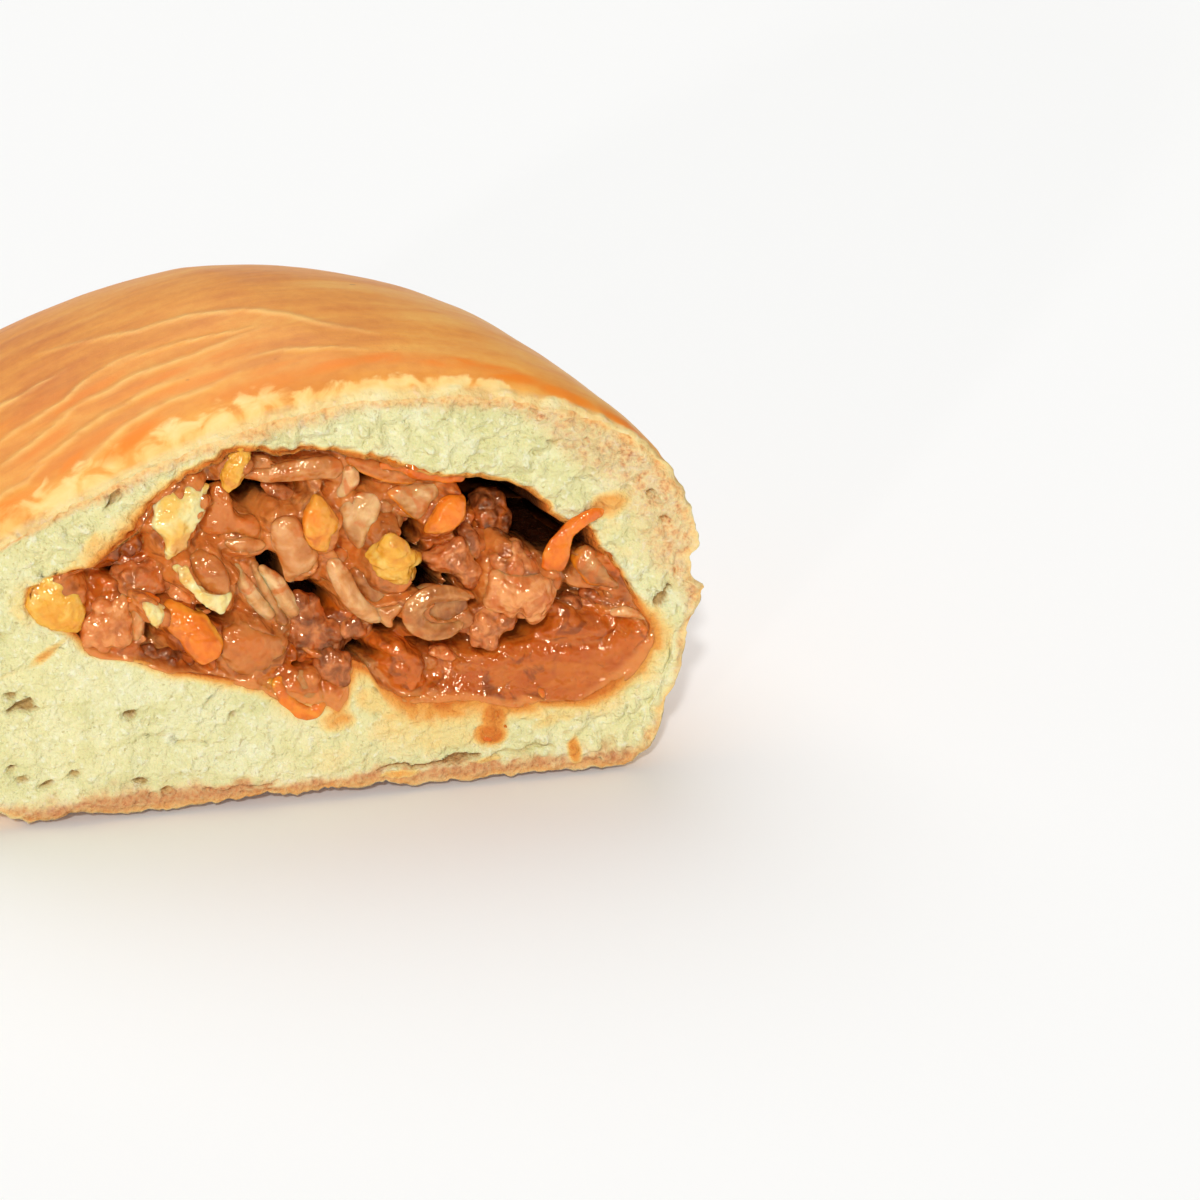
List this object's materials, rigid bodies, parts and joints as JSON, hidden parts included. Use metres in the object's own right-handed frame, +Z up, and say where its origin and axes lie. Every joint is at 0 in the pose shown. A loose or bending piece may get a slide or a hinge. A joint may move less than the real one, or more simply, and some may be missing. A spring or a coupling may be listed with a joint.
{
  "type": "halved beef empanada",
  "caption": "Baked beef empanada cut across: a thick soft dough shell with a glazed browned crust, open at the cut on a filling of minced beef, onion and carrot.",
  "frame": {"origin": "on the flat underside, below the middle of the body's length", "axes": "+Z up out of the underside, -Y out of the cut face, +X towards the blunt side where the dough was folded over"},
  "size_m": [0.0794, 0.0613, 0.0411],
  "materials": {
    "baked_dough": "egg-washed orange-brown crust with a satin shine, and a pale matt yellow-cream crumb at the cut",
    "beef_filling": "moist and glossy, brown minced beef with onion and carrot in a thin orange-brown sauce"
  },
  "bodies": {
    "root": {"dough": "baked_dough", "filling": "beef_filling"}
  },
  "joints": []
}
